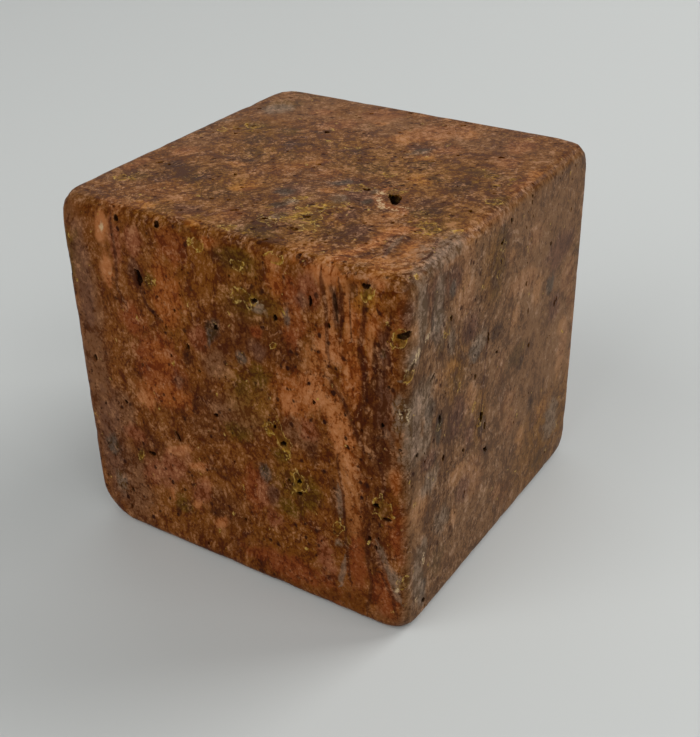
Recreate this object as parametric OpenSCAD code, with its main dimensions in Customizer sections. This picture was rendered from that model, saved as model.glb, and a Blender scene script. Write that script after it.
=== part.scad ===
// A palm-sized cube of honed stone with eased edges and tumbled corners, cut from one piece.
// The stone is open-textured: its faces carry small pits and slots, and the ones from about
// half a millimetre across are cut here. The cube stands on its flat base.
// The origin is the middle of the base, +Z is up and the front face looks along -Y.

/* [Block] */
// Width of the block, between its left and right faces
block_width = 51; // [40:0.5:70]
// Depth of the block, between its front and back faces
block_depth = 50; // [40:0.5:70]
// Height of the block, from its base to its top face
block_height = 50; // [40:0.5:70]

/* [Edges and corners] */
// Radius that the edges were eased to
edge_radius = 1.5; // [1:0.1:4]
// How far tumbling took every corner back beyond that radius
corner_wear = 0.65; // [0.3:0.05:0.9]
// How far the lower corner at the front left is rubbed back in all
rubbed_corner_wear = 1.6; // [1.1:0.05:2]
// Length of the two small chips on the left-hand edges
chip_length = 1.6; // [0.8:0.1:2.4]
// Width of those chips
chip_width = 1.2; // [0.6:0.1:2]
// Depth of those chips
chip_depth = 0.3; // [0.2:0.05:0.6]

/* [Pits] */
// Length and width of the pits, 1 being as found
pit_size = 1; // [0.7:0.05:1.3]
// Depth of the pits, 1 being as found
pit_depth = 1; // [0.7:0.05:1.3]
// Length of the large hole in the top face
hole_length = 3.6; // [2.6:0.1:4.6]
// Width of that hole
hole_width = 1.6; // [1:0.1:2.4]
// Depth of that hole
hole_depth = 1.8; // [1:0.1:3]

/* [Hidden] */

stone_brown = [0.42, 0.24, 0.15];
round_steps = 48;
pocket_steps = 24;

half_width = block_width / 2;
half_depth = block_depth / 2;
half_height = block_height / 2;

// How far a rounded edge and a rounded corner fall short of sharp ones
edge_shortfall = edge_radius * (1 - cos(45));
corner_shortfall = edge_radius * (sqrt(3) - 1);

// Radius of the ball that tumbling wore the corners to, and of the almost flat patch on the rubbed one
tumbled_radius = norm([half_width - edge_radius, half_depth - edge_radius, half_height - edge_radius])
    + edge_radius - corner_wear;
rubbed_patch_radius = 55;

// Shape of a pit: how much smaller its end pockets are, how far it bends and how close its pockets lie
end_taper = 0.35;
bend_share = 0.2;
pocket_pitch = 0.4;

// Each face: name, turn that puts +Z out of it and its right and up along X and Y, middle, half sizes
FACES = [
    ["front", [90, 0, 0], [0, -half_depth, half_height], [half_width, half_height]],
    ["right", [90, 0, 90], [half_width, 0, half_height], [half_depth, half_height]],
    ["back", [90, 0, 180], [0, half_depth, half_height], [half_width, half_height]],
    ["left", [90, 0, 270], [-half_width, 0, half_height], [half_depth, half_height]],
    ["top", [0, 0, 0], [0, 0, block_height], [half_width, half_depth]],
    ["base", [180, 0, 0], [0, 0, 0], [half_width, half_depth]]
];

// Each edge that carries something: name, turn that puts +Z out of it and its run along Y, middle, half run
edge_x = half_width - edge_shortfall;
edge_y = half_depth - edge_shortfall;
edge_z = block_height - edge_shortfall;
EDGES = [
    ["front left", [90, 0, -45], [-edge_x, -edge_y, half_height], [0, 0, half_height]],
    ["front right", [90, 0, 45], [edge_x, -edge_y, half_height], [0, 0, half_height]],
    ["top left", [0, -45, 0], [-edge_x, 0, edge_z], [0, half_depth, 0]]
];

// Pits of each face: shares of the way from its middle to its right-hand and upper edges, then length,
// width and depth in millimetres, and how far the length leans clockwise from upright, in degrees
FRONT_PITS = [
    [-0.51, 0.65, 2.2, 1.1, 0.8, -10],
    [0.51, 0.79, 1.4, 0.6, 0.7, 0],
    [0.64, 0.80, 4.4, 0.7, 0.3, -8],
    [0.31, 0.65, 0.9, 0.7, 0.8, 0],
    [0.80, 0.94, 1.2, 0.7, 0.8, 80],
    [0.20, 0.71, 0.9, 0.6, 0.6, 70],
    [-0.05, 0.50, 1.0, 0.7, 0.6, 0],
    [0.32, -0.05, 1.3, 0.8, 0.9, 60],
    [-0.09, -0.02, 0.9, 0.6, 0.6, 60],
    [-0.36, -0.25, 1.7, 0.5, 0.5, -25],
    [-0.56, -0.42, 1.5, 0.7, 0.8, 80],
    [-0.70, -0.14, 0.8, 0.6, 0.5, -20],
    [0.40, -0.25, 1.0, 0.6, 0.7, 30],
    [0.40, -0.32, 0.9, 0.6, 0.6, 70],
    [0.84, -0.22, 1.1, 0.8, 0.9, 60],
    [0.90, -0.28, 1.4, 0.7, 0.8, 75],
    [-0.61, 0.94, 1.0, 0.8, 0.7, 10],
    [-0.36, 0.96, 1.0, 0.9, 0.7, 0],
    [0.60, 0.69, 0.7, 0.5, 0.5, 0],
    [0.27, 0.03, 0.8, 0.5, 0.5, 20],
    [0.87, 0.25, 0.8, 0.5, 0.5, 10],
    [0.51, 0.25, 0.7, 0.5, 0.5, 0]
];
RIGHT_PITS = [
    [0.02, 0.90, 0.9, 0.7, 0.8, -20],
    [-0.08, 0.83, 0.9, 0.6, 0.6, 70],
    [-0.59, 0.64, 0.9, 0.6, 0.6, -30],
    [-0.19, 0.35, 1.9, 0.6, 0.7, -5],
    [-0.08, 0.21, 0.9, 0.5, 0.5, -60],
    [-0.68, 0.14, 1.5, 0.8, 0.9, -10],
    [-0.90, 0.06, 0.9, 0.6, 0.6, -45],
    [-0.24, -0.09, 1.7, 1.0, 1.0, -10],
    [-0.19, -0.17, 1.3, 0.6, 0.6, -5],
    [-0.42, -0.19, 0.9, 0.5, 0.5, -50],
    [-0.17, -0.34, 1.4, 0.7, 0.8, -45],
    [0.53, 0.58, 0.7, 0.5, 0.5, -40],
    [-0.82, -0.89, 1.1, 0.7, 0.7, -50]
];
BACK_PITS = [
    [-0.55, 0.45, 1.8, 0.9, 0.8, 5],
    [0.10, 0.62, 1.1, 0.8, 0.8, 30],
    [0.62, 0.20, 1.5, 0.6, 0.6, 10],
    [-0.20, -0.10, 1.0, 0.8, 0.7, 50],
    [0.30, -0.45, 2.0, 0.9, 0.9, 12],
    [-0.65, -0.50, 0.9, 0.7, 0.6, 70],
    [0.72, -0.70, 1.2, 0.6, 0.7, 20]
];
LEFT_PITS = [
    [0.60, 0.55, 1.4, 0.8, 0.8, 8],
    [-0.15, 0.35, 1.9, 0.8, 0.8, 6],
    [0.25, 0.05, 0.9, 0.7, 0.6, 40],
    [-0.60, -0.05, 1.1, 0.9, 0.9, 20],
    [0.45, -0.50, 1.6, 0.6, 0.6, 15],
    [-0.30, -0.65, 1.0, 0.8, 0.7, 65]
];
TOP_PITS = [
    [-0.31, 0.41, 1.1, 0.8, 0.9, -35],
    [-0.36, -0.36, 0.8, 0.5, 0.5, -35],
    [0.32, -0.20, 1.0, 0.8, 0.6, 60],
    [-0.31, -0.86, 0.7, 0.5, 0.5, 40],
    [0.25, -0.62, 1.1, 0.7, 0.4, 50]
];
BASE_PITS = [
    [0.55, 0.50, 1.2, 0.8, 0.7, 35],
    [-0.50, -0.60, 1.6, 0.7, 0.8, 45],
    [-0.60, 0.35, 0.9, 0.7, 0.6, 50]
];
HOLE_PLACE = [0.49, -0.24];
hole_lean = -38;

// Oval pit in the front right edge: share of the half height at which it lies, length, width, depth, lean
oval_pit_rise = 0.74;
oval_pit_length = 1.8;
oval_pit_width = 1.1;
oval_pit_depth = 0.9;
oval_pit_lean = 75;

// Shares of the half height and half depth at which the two chips lie on their edges
upright_chip_rise = 0.56;
top_chip_run = 0.25;

// Round pocket sunk from z = 0, as wide at its mouth and as deep as given
module pocket(width, depth) {
    radius = (width * width / 4 + depth * depth) / (2 * depth);
    translate([0, 0, radius - depth])
        sphere(r = radius, $fn = pocket_steps);
}

// Pit along Y, a run of pockets that overlap, the widest and deepest in the middle
module pit(length, width, depth) {
    steps = ceil((length - width) / (width * pocket_pitch));
    reach = (length - width) / 2;
    for (i = [0:steps]) {
        along = 2 * i / steps - 1;
        size = 1 - end_taper * abs(along);
        bend = bend_share * width * (1 - along * along);
        translate([bend, reach * along, 0])
            pocket(width * size, depth * size);
    }
}

// Puts its children on a face, at shares of the way from its middle to its right-hand and upper edges
module on_face(name, place) {
    face = FACES[search([name], FACES)[0]];
    translate(face[2])
        rotate(face[1])
            translate([place[0] * face[3][0], place[1] * face[3][1], 0])
                children();
}

// Puts its children on an edge, at a share of the way from its middle to its end
module on_edge(name, share) {
    edge = EDGES[search([name], EDGES)[0]];
    translate(edge[2] + share * edge[3])
        rotate(edge[1])
            children();
}

module face_pits(name, pits) {
    for (p = pits) {
        on_face(name, [p[0], p[1]])
            rotate(-p[5])
                pit(p[2] * pit_size, p[3] * pit_size, p[4] * pit_depth);
    }
}

// Rectangle with round corners
module rounded_section(across, along) {
    square([across - 2 * edge_radius, along], center = true);
    square([across, along - 2 * edge_radius], center = true);
    for (i = [-1, 1], j = [-1, 1]) {
        translate([i * (across / 2 - edge_radius), j * (along / 2 - edge_radius)])
            circle(r = edge_radius, $fn = round_steps);
    }
}

module rounded_bar(across, along, height) {
    linear_extrude(height = height - 2 * edge_radius, center = true)
        rounded_section(across, along);
}

// Block with every edge and corner rounded: a bar each way, and a ball in each corner
module rounded_block() {
    translate([0, 0, half_height]) {
        rounded_bar(block_width, block_depth, block_height);
        rotate([90, 0, 0])
            rounded_bar(block_width, block_height, block_depth);
        rotate([90, 0, 90])
            rounded_bar(block_depth, block_height, block_width);
        for (i = [-1, 1], j = [-1, 1], k = [-1, 1]) {
            translate([
                i * (half_width - edge_radius),
                j * (half_depth - edge_radius),
                k * (half_height - edge_radius)
            ])
                sphere(r = edge_radius, $fn = round_steps);
        }
    }
}

// Ball about the middle of the block, which blunts all eight corners
module tumbled_ball() {
    translate([0, 0, half_height])
        sphere(r = tumbled_radius, $fn = 4 * round_steps);
}

// Ball that the rubbed corner is worn back to, large enough to clear the rest of the block
module rubbed_ball() {
    corner = [-half_width, -half_depth, 0];
    inward = [1, 1, 1] / sqrt(3);
    translate(corner + (corner_shortfall + rubbed_corner_wear + rubbed_patch_radius) * inward)
        sphere(r = rubbed_patch_radius, $fn = 4 * round_steps);
}

module chips() {
    on_edge("front left", upright_chip_rise)
        pit(chip_length, chip_width, chip_depth);
    on_edge("top left", top_chip_run)
        pit(chip_length, chip_width, chip_depth);
}

module marble_cube() {
    color(stone_brown)
        difference() {
            intersection() {
                rounded_block();
                tumbled_ball();
                rubbed_ball();
            }
            face_pits("front", FRONT_PITS);
            face_pits("right", RIGHT_PITS);
            face_pits("back", BACK_PITS);
            face_pits("left", LEFT_PITS);
            face_pits("top", TOP_PITS);
            face_pits("base", BASE_PITS);
            on_face("top", HOLE_PLACE)
                rotate(-hole_lean)
                    pit(hole_length, hole_width, hole_depth);
            on_edge("front right", oval_pit_rise)
                rotate(-oval_pit_lean)
                    pit(oval_pit_length, oval_pit_width, oval_pit_depth);
            chips();
        }
}

marble_cube();
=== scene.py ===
import math
import random

import bmesh
import bpy
import numpy
from mathutils import Matrix, Vector, noise


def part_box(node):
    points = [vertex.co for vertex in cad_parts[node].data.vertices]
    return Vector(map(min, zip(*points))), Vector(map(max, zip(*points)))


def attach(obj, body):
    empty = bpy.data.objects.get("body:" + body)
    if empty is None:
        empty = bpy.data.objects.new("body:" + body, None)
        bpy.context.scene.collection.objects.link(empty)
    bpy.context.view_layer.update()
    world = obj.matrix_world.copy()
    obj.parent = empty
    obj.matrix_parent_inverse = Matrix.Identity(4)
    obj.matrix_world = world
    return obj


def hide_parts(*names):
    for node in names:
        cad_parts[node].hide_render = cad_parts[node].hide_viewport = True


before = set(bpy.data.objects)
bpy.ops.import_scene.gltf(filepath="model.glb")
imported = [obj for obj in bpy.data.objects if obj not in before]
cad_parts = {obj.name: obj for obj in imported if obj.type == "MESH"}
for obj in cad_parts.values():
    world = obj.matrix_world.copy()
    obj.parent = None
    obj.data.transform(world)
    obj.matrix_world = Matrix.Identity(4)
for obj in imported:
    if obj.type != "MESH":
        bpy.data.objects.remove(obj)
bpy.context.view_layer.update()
print("frame loaded")

mm = 0.001
low, high = (Vector(corner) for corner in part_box("marble_cube"))
middle, halfSize = (low + high) / 2, (high - low) / 2


class Wire:  # a node's output, so that sums on it can be written as Python expressions
    def __init__(self, graph, socket):
        self.graph, self.socket = graph, socket

    def sum(self, operation, first, second):
        return self.graph.node("ShaderNodeMath", {"operation": operation}, {0: first, 1: second})

    def __add__(self, other):
        return self.sum("ADD", self, other)

    def __radd__(self, other):
        return self.sum("ADD", other, self)

    def __sub__(self, other):
        return self.sum("SUBTRACT", self, other)

    def __rsub__(self, other):
        return self.sum("SUBTRACT", other, self)

    def __mul__(self, other):
        return self.sum("MULTIPLY", self, other)

    def __rmul__(self, other):
        return self.sum("MULTIPLY", other, self)

    def __pow__(self, other):
        return self.sum("POWER", self, other)

    def __rpow__(self, other):
        return self.sum("POWER", other, self)


class Graph:  # a node tree and short ways to add to it
    def __init__(self, tree):
        self.tree = tree

    # One node: its type, its settings, which are set first, and the values or wires of its sockets
    def node(self, kind, settings=None, sockets=None, out=0):
        made = self.tree.nodes.new(kind)
        for name, value in (settings or {}).items():
            if name == "stops":
                self.fillRamp(made.color_ramp, value)
            else:
                setattr(made, name, value)
        for key, value in (sockets or {}).items():
            for one in value if isinstance(value, list) else [value]:
                if isinstance(one, Wire):
                    self.tree.links.new(one.socket, made.inputs[key])
                else:
                    made.inputs[key].default_value = one
        return Wire(self, made.outputs[out])

    def fillRamp(self, ramp, stops):
        while len(ramp.elements) < len(stops):
            ramp.elements.new(0.5)
        for element, (place, colour) in zip(ramp.elements, stops):
            element.position, element.color = place, colour

    def vector(self, operation, first, second=(0, 0, 0), out=0):
        return self.node("ShaderNodeVectorMath", {"operation": operation}, {0: first, 1: second}, out)

    def step(self, value, start, end):  # 0 below start, 1 above end, smooth between
        sockets = {0: value, 1: start, 2: end}
        return self.node("ShaderNodeMapRange", {"interpolation_type": "SMOOTHSTEP"}, sockets)

    def noise(self, place, scale, detail=2.0, roughness=0.5, out=0):
        sockets = {"Vector": place, "Scale": scale, "Detail": detail, "Roughness": roughness}
        return self.node("ShaderNodeTexNoise", None, sockets, out)


# the block: how it was cut, tumbled and honed, in millimetres
block = {
    "edgeRadius": 1.5,
    "edgeSteps": 5,  # facets round half an edge
    "cell": 0.75,  # size of the grid on each face
    "honingWave": 0.02,  # how far the honed faces dip
    "edgeWear": 0.2,  # how unevenly the edges are worn
    "cornerWear": 0.65,  # how far tumbling took every corner back
    "rubbedWear": 1.6,  # how far the lower corner at the front left is rubbed back in all
    "rubbedRadius": 55.0,
    "blend": 0.5,  # how softly a worn corner runs into its edges
    "sharpAngle": 38,  # degrees past which a rim is shaded sharp
}

# each face, and each edge that carries something, by its right, its up and its outward direction
faces = {
    "front": ((1, 0, 0), (0, 0, 1), (0, -1, 0)),
    "right": ((0, 1, 0), (0, 0, 1), (1, 0, 0)),
    "back": ((-1, 0, 0), (0, 0, 1), (0, 1, 0)),
    "left": ((0, -1, 0), (0, 0, 1), (-1, 0, 0)),
    "top": ((1, 0, 0), (0, 1, 0), (0, 0, 1)),
    "base": ((1, 0, 0), (0, -1, 0), (0, 0, -1)),
}
edges = {
    "frontLeft": ((1, -1, 0), (0, 0, 1), (-1, -1, 0)),
    "frontRight": ((1, 1, 0), (0, 0, 1), (1, -1, 0)),
    "topLeft": ((1, 0, 1), (0, 1, 0), (-1, 0, 1)),
}


def sideFrame(name):  # the own axes of a face or an edge, and the middle of its surface
    axes = [Vector(direction).normalized() for direction in {**faces, **edges}[name]]
    shortfall = block["edgeRadius"] * mm * (1 - math.cos(math.radians(45))) if name in edges else 0
    reach = [math.copysign(halfSize[i] - shortfall, axes[2][i]) if axes[2][i] else 0 for i in range(3)]
    return axes, middle + Vector(reach)


def placeOn(name, across, along, lean):  # a place on a side, with its axes leaned clockwise, in degrees
    (right, up, out), foot = sideFrame(name)
    turn = math.radians(lean)
    ahead = up * math.cos(turn) + right * math.sin(turn)
    return (ahead.cross(out), ahead, out), foot + (right * across + up * along) * mm


def gridLine(half):  # where the grid's lines cross one side of a face, closer together round the edges
    radius = block["edgeRadius"] * mm
    flat = half - radius
    count = round(2 * flat / (block["cell"] * mm))
    turn = math.radians(45) / block["edgeSteps"]
    rounding = [radius * math.tan(turn * (i + 1)) for i in range(block["edgeSteps"])]
    flatPart = [flat * (2 * i / count - 1) for i in range(count + 1)]
    return [-flat - step for step in reversed(rounding)] + flatPart + [flat + step for step in rounding]


# Box with every edge and corner rounded: a grid for each face, which meet halfway round the edges
def roundedShell():
    radius = block["edgeRadius"] * mm
    shell = bmesh.new()
    for name in faces:
        (right, up, out), foot = sideFrame(name)
        half = [abs(axis.dot(halfSize)) for axis in (right, up, out)]
        columns, rows = gridLine(half[0]), gridLine(half[1])
        made = []
        for v in rows:
            for u in columns:
                inner = Vector((
                    max(radius - half[0], min(half[0] - radius, u)),
                    max(radius - half[1], min(half[1] - radius, v)),
                    half[2] - radius,
                ))
                place = inner + (Vector((u, v, half[2])) - inner).normalized() * radius
                made.append(shell.verts.new(middle + right * place.x + up * place.y + out * place.z))
        width = len(columns)
        for k in range(len(made) - width):
            if k % width < width - 1:
                shell.faces.new([made[k], made[k + 1], made[k + width + 1], made[k + width]])
    bmesh.ops.remove_doubles(shell, verts=shell.verts, dist=0.001 * mm)
    bmesh.ops.recalc_face_normals(shell, faces=shell.faces)
    return shell


# How far a ball of the given middle and radius wears the block back at a point, softly at its rim
def ballWear(point, centre, ballRadius):
    beyond = (point - centre).length - ballRadius
    return (beyond + math.hypot(beyond, block["blend"] * mm)) / 2


# Honing left the faces slightly wavy, tumbling the edges uneven and the corners blunt, one most of all
def wearAt(point):
    radius = block["edgeRadius"] * mm
    inside = [halfSize[i] - abs(point[i] - middle[i]) for i in range(3)]
    onEdge = max(0, 1 - sorted(inside)[1] / (1.6 * radius))
    wave = max(0, noise.noise(point * 90) + 0.25) * block["honingWave"] * mm
    uneven = noise.noise(point * 240 + Vector((7, 3, 1))) + 0.6 * noise.noise(point * 700)
    rubbed = max(0, uneven) * block["edgeWear"] * mm * onEdge
    diagonal = (halfSize - Vector((radius, radius, radius))).length + radius
    tumbled = ballWear(point, middle, diagonal - block["cornerWear"] * mm)
    corner = middle - (halfSize - Vector((radius, radius, radius)))
    inward = Vector((1, 1, 1)).normalized()
    patch = corner + inward * (block["rubbedWear"] * mm + block["rubbedRadius"] * mm - radius)
    lowCorner = ballWear(point, patch, block["rubbedRadius"] * mm)
    return wave * (point.z > low.z + radius) + rubbed + max(tumbled, lowCorner)


def depthBelow(point):  # how far a point lies below the worn surface, in metres
    radius = block["edgeRadius"] * mm
    inside = [halfSize[i] - abs(point[i] - middle[i]) for i in range(3)]
    beyond = Vector([math.copysign(max(radius - inside[i], 0), point[i] - middle[i]) for i in range(3)])
    if beyond.length == 0:
        return min(inside) - wearAt(point)
    depth = radius - beyond.length
    return depth - wearAt(point + beyond.normalized() * depth)


def wearShell(shell):
    for vert in shell.verts:
        vert.co -= vert.normal * wearAt(vert.co)


# open pits that can be told apart, by face: place from the middle of the face, across and up, then
# length, width and depth, all in millimetres, and how far the length leans clockwise from upright
pits = {
    "front": [
        (-12.9, 16.2, 2.2, 1.1, 0.8, -10), (13.0, 19.7, 1.4, 0.6, 0.7, 0),
        (16.3, 20.0, 4.4, 0.7, 0.3, -8), (7.9, 16.2, 0.9, 0.7, 0.8, 0), (20.4, 23.5, 1.2, 0.7, 0.8, 80),
        (5.1, 17.8, 0.9, 0.6, 0.6, 70), (-1.2, 12.5, 1.0, 0.7, 0.6, 0), (8.1, -1.2, 1.3, 0.8, 0.9, 60),
        (-2.3, -0.5, 0.9, 0.6, 0.6, 60), (-9.2, -6.2, 1.7, 0.5, 0.5, -25),
        (-14.3, -10.6, 1.5, 0.7, 0.8, 80), (-17.9, -3.6, 0.8, 0.6, 0.5, -20),
        (10.2, -6.2, 1.0, 0.6, 0.7, 30), (10.2, -8.0, 0.9, 0.6, 0.6, 70),
        (21.4, -5.5, 1.1, 0.8, 0.9, 60), (22.9, -7.0, 1.4, 0.7, 0.8, 75),
        (-15.5, 23.6, 1.0, 0.8, 0.7, 10), (-9.1, 24.1, 1.0, 0.9, 0.7, 0),
        (15.4, 17.2, 0.7, 0.5, 0.5, 0), (6.9, 0.8, 0.8, 0.5, 0.5, 20), (22.3, 6.2, 0.8, 0.5, 0.5, 10),
        (12.9, 6.3, 0.7, 0.5, 0.5, 0),
    ],
    "right": [
        (0.4, 22.5, 0.9, 0.7, 0.8, -20), (-2.0, 20.7, 0.9, 0.6, 0.6, 70),
        (-14.8, 16.1, 0.9, 0.6, 0.6, -30), (-4.8, 8.8, 1.9, 0.6, 0.7, -5),
        (-2.0, 5.3, 0.9, 0.5, 0.5, -60), (-17.1, 3.5, 1.5, 0.8, 0.9, -10),
        (-22.4, 1.5, 0.9, 0.6, 0.6, -45), (-5.9, -2.3, 1.7, 1.0, 1.0, -10),
        (-4.7, -4.3, 1.3, 0.6, 0.6, -5), (-10.5, -4.8, 0.9, 0.5, 0.5, -50),
        (-4.2, -8.4, 1.4, 0.7, 0.8, -45), (13.2, 14.4, 0.7, 0.5, 0.5, -40),
        (-20.4, -22.2, 1.1, 0.7, 0.7, -50), (-23.6, 14.3, 1.5, 0.5, 0.5, 35),
        (-19.0, 10.5, 1.3, 0.5, 0.5, 60),
    ],
    "back": [
        (-14.0, 11.2, 1.8, 0.9, 0.8, 5), (2.6, 15.5, 1.1, 0.8, 0.8, 30), (15.8, 5.0, 1.5, 0.6, 0.6, 10),
        (-5.1, -2.5, 1.0, 0.8, 0.7, 50), (7.6, -11.2, 2.0, 0.9, 0.9, 12),
        (-16.6, -12.5, 0.9, 0.7, 0.6, 70), (18.4, -17.5, 1.2, 0.6, 0.7, 20),
    ],
    "left": [
        (15.0, 13.8, 1.4, 0.8, 0.8, 8), (-3.8, 8.8, 1.9, 0.8, 0.8, 6), (6.2, 1.2, 0.9, 0.7, 0.6, 40),
        (-15.0, -1.2, 1.1, 0.9, 0.9, 20), (11.2, -12.5, 1.6, 0.6, 0.6, 15),
        (-7.5, -16.2, 1.0, 0.8, 0.7, 65),
    ],
    "top": [
        (12.5, -6.0, 3.6, 1.6, 1.8, -38), (-7.9, 10.2, 1.1, 0.8, 0.9, -35),
        (-9.3, -9.0, 0.8, 0.5, 0.5, -35), (8.1, -4.9, 1.0, 0.8, 0.6, 60),
        (-7.9, -21.5, 0.7, 0.5, 0.5, 40), (6.4, -15.6, 1.1, 0.7, 0.4, 50),
    ],
    "base": [
        (14.0, 12.5, 1.2, 0.8, 0.7, 35), (-12.8, -15.0, 1.6, 0.7, 0.8, 45),
        (-15.3, 8.8, 0.9, 0.7, 0.6, 50),
    ],
    "frontRight": [(0, 18.5, 1.8, 1.1, 0.9, 75)],
    "frontLeft": [(0, 14.0, 1.6, 1.2, 0.3, 0)],
    "topLeft": [(0, 6.2, 1.6, 1.2, 0.3, 0)],
}
pitShape = {
    "rounds": 4,  # how finely each is modelled
    "undercut": 0.22,  # how far its widest part lies below its mouth, as a share of its depth
    "ragged": 0.34,  # how uneven its walls are, as a share of its width
    "bend": 0.2,  # how far its length bows, as a share of its width
}


# A ragged hollow for each pit, to be cut out of the block
def pitCutters():
    cutters = bmesh.new()
    for name, rows in pits.items():
        for across, along, length, width, depth, lean in rows:
            axes, centre = placeOn(name, across, along, lean)
            addHollow(cutters, centre, axes, (width, length, depth))
    mesh = bpy.data.meshes.new("pitCutters")
    cutters.to_mesh(mesh)
    cutters.free()
    made = bpy.data.objects.new("pitCutters", mesh)
    bpy.context.scene.collection.objects.link(made)
    return made


def addHollow(cutters, centre, axes, size):
    width, length, depth = (value * mm for value in size)
    ball = bmesh.ops.create_icosphere(cutters, subdivisions=pitShape["rounds"], radius=1)["verts"]
    seed = centre * 3000
    sink = depth * pitShape["undercut"]
    for vert in ball:
        x, y, z = vert.co
        rough = 1 + pitShape["ragged"] * (
            noise.noise(vert.co * 1.6 + seed) + 0.6 * noise.noise(vert.co * 4 + seed))
        x = x * width / 2 * rough + pitShape["bend"] * width * (1 - y * y)
        y, z = y * length / 2 * rough, z * (depth - sink) * rough - sink
        vert.co = centre + axes[0] * x + axes[1] * y + axes[2] * z


# fine pores, which lie thickest in the open beds
pores = {
    "Spacing": 0.62 * mm,
    "Most To An Area": 2.2e5,
    "Smallest": 0.1 * mm,
    "Largest": 0.36 * mm,
    "Stretch": 0.8,  # how much longer than wide the longest are
    "Clear Of Pits": 0.35 * mm,
    "Raggedness": 0.9,
    "Seed": 4,
}


def buildPoreTree():
    tree = bpy.data.node_groups.new("openPores", "GeometryNodeTree")
    tree.interface.new_socket("Block", in_out="INPUT", socket_type="NodeSocketGeometry")
    tree.interface.new_socket("Pits", in_out="INPUT", socket_type="NodeSocketObject")
    tree.interface.new_socket("Stone", in_out="INPUT", socket_type="NodeSocketMaterial")
    for name, value in pores.items():
        kind = "NodeSocketInt" if isinstance(value, int) else "NodeSocketFloat"
        tree.interface.new_socket(name, in_out="INPUT", socket_type=kind)
    tree.interface.new_socket("Block", in_out="OUTPUT", socket_type="NodeSocketGeometry")

    g = Graph(tree)
    entry = tree.nodes.new("NodeGroupInput")
    given = {socket.name: Wire(g, socket) for socket in entry.outputs if socket.name}
    pitMesh = g.node("GeometryNodeObjectInfo", None, {"Object": given["Pits"]}, out="Geometry")
    place = g.node("GeometryNodeInputPosition")

    # the beds stand on edge and run from the front left to the back right
    acrossBeds = (math.sqrt(0.5), -math.sqrt(0.5), 0)
    bedPlace = g.vector("MULTIPLY", bedding(g, place), (260, 90, 70))
    openness = g.step(g.noise(bedPlace, 1.0, 3.0), 0.47, 0.7)
    spread = g.node("GeometryNodeDistributePointsOnFaces", {"distribute_method": "POISSON"}, {
        "Mesh": given["Block"], "Distance Min": given["Spacing"], "Density Max": given["Most To An Area"],
        "Density Factor": openness, "Seed": given["Seed"],
    })
    normal = Wire(g, spread.socket.node.outputs["Normal"])
    nearest = g.node("GeometryNodeProximity", {"target_element": "FACES"}, {
        "Geometry": pitMesh}, out="Distance")
    tooNear = g.node("FunctionNodeCompare", {"operation": "LESS_THAN"}, {
        0: nearest, 1: given["Clear Of Pits"]})
    points = g.node("GeometryNodeDeleteGeometry", {"domain": "POINT"}, {
        "Geometry": spread, "Selection": tooNear})

    chance = g.node("FunctionNodeRandomValue", None, {"Seed": given["Seed"] + 1}, out=1)
    size = given["Smallest"] + (given["Largest"] - given["Smallest"]) * chance ** 3.0
    stored = g.node("GeometryNodeStoreNamedAttribute", {"data_type": "FLOAT_VECTOR", "domain": "POINT"}, {
        "Geometry": points, "Name": "outward", "Value": normal})
    sized = g.node("GeometryNodeStoreNamedAttribute", {"data_type": "FLOAT", "domain": "POINT"}, {
        "Geometry": stored, "Name": "poreSize", "Value": size})
    outward = g.node("GeometryNodeInputNamedAttribute", {"data_type": "FLOAT_VECTOR"}, {"Name": "outward"})
    ownSize = g.node("GeometryNodeInputNamedAttribute", {"data_type": "FLOAT"}, {"Name": "poreSize"})
    trace = g.vector("CROSS_PRODUCT", outward, acrossBeds)
    turn = g.node("FunctionNodeAxesToRotation", {"primary_axis": "Z", "secondary_axis": "Y"}, {
        "Primary Axis": outward, "Secondary Axis": trace})
    longer = g.node("FunctionNodeRandomValue", None, {"Seed": given["Seed"] + 2}, out=1)
    scale = g.node("ShaderNodeCombineXYZ", None, {
        0: ownSize, 1: ownSize * (1.0 + given["Stretch"] * longer), 2: ownSize * 1.3})
    ball = g.node("GeometryNodeMeshIcoSphere", None, {"Radius": 1.0, "Subdivisions": 2})
    placed = g.node("GeometryNodeInstanceOnPoints", None, {
        "Points": sized, "Instance": ball, "Rotation": turn, "Scale": scale})
    loose = g.node("GeometryNodeRealizeInstances", None, {"Geometry": placed})
    wobble = g.vector("SUBTRACT", g.noise(place, 2600.0, 1.0, out=1), (0.5, 0.5, 0.5))
    reach = g.node("ShaderNodeVectorMath", {"operation": "SCALE"}, {
        0: wobble, "Scale": ownSize * given["Raggedness"] * 2.0})
    ragged = g.node("GeometryNodeSetPosition", None, {"Geometry": loose, "Offset": reach})
    cut = g.node("GeometryNodeMeshBoolean", {"operation": "DIFFERENCE", "solver": "MANIFOLD"}, {
        "Mesh 1": given["Block"], "Mesh 2": [ragged, pitMesh]})
    whole = g.node("GeometryNodeRealizeInstances", None, {"Geometry": cut})
    coated = g.node("GeometryNodeSetMaterial", None, {"Geometry": whole, "Material": given["Stone"]})
    leave = tree.nodes.new("NodeGroupOutput")
    tree.links.new(coated.socket, leave.inputs[0])
    return tree


def bedding(graph, place):  # turns a place so that X runs across the beds and Y along them
    turn = {"rotation_type": "Z_AXIS"}
    return graph.node("ShaderNodeVectorRotate", turn, {"Vector": place, "Angle": math.radians(45)})


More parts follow.
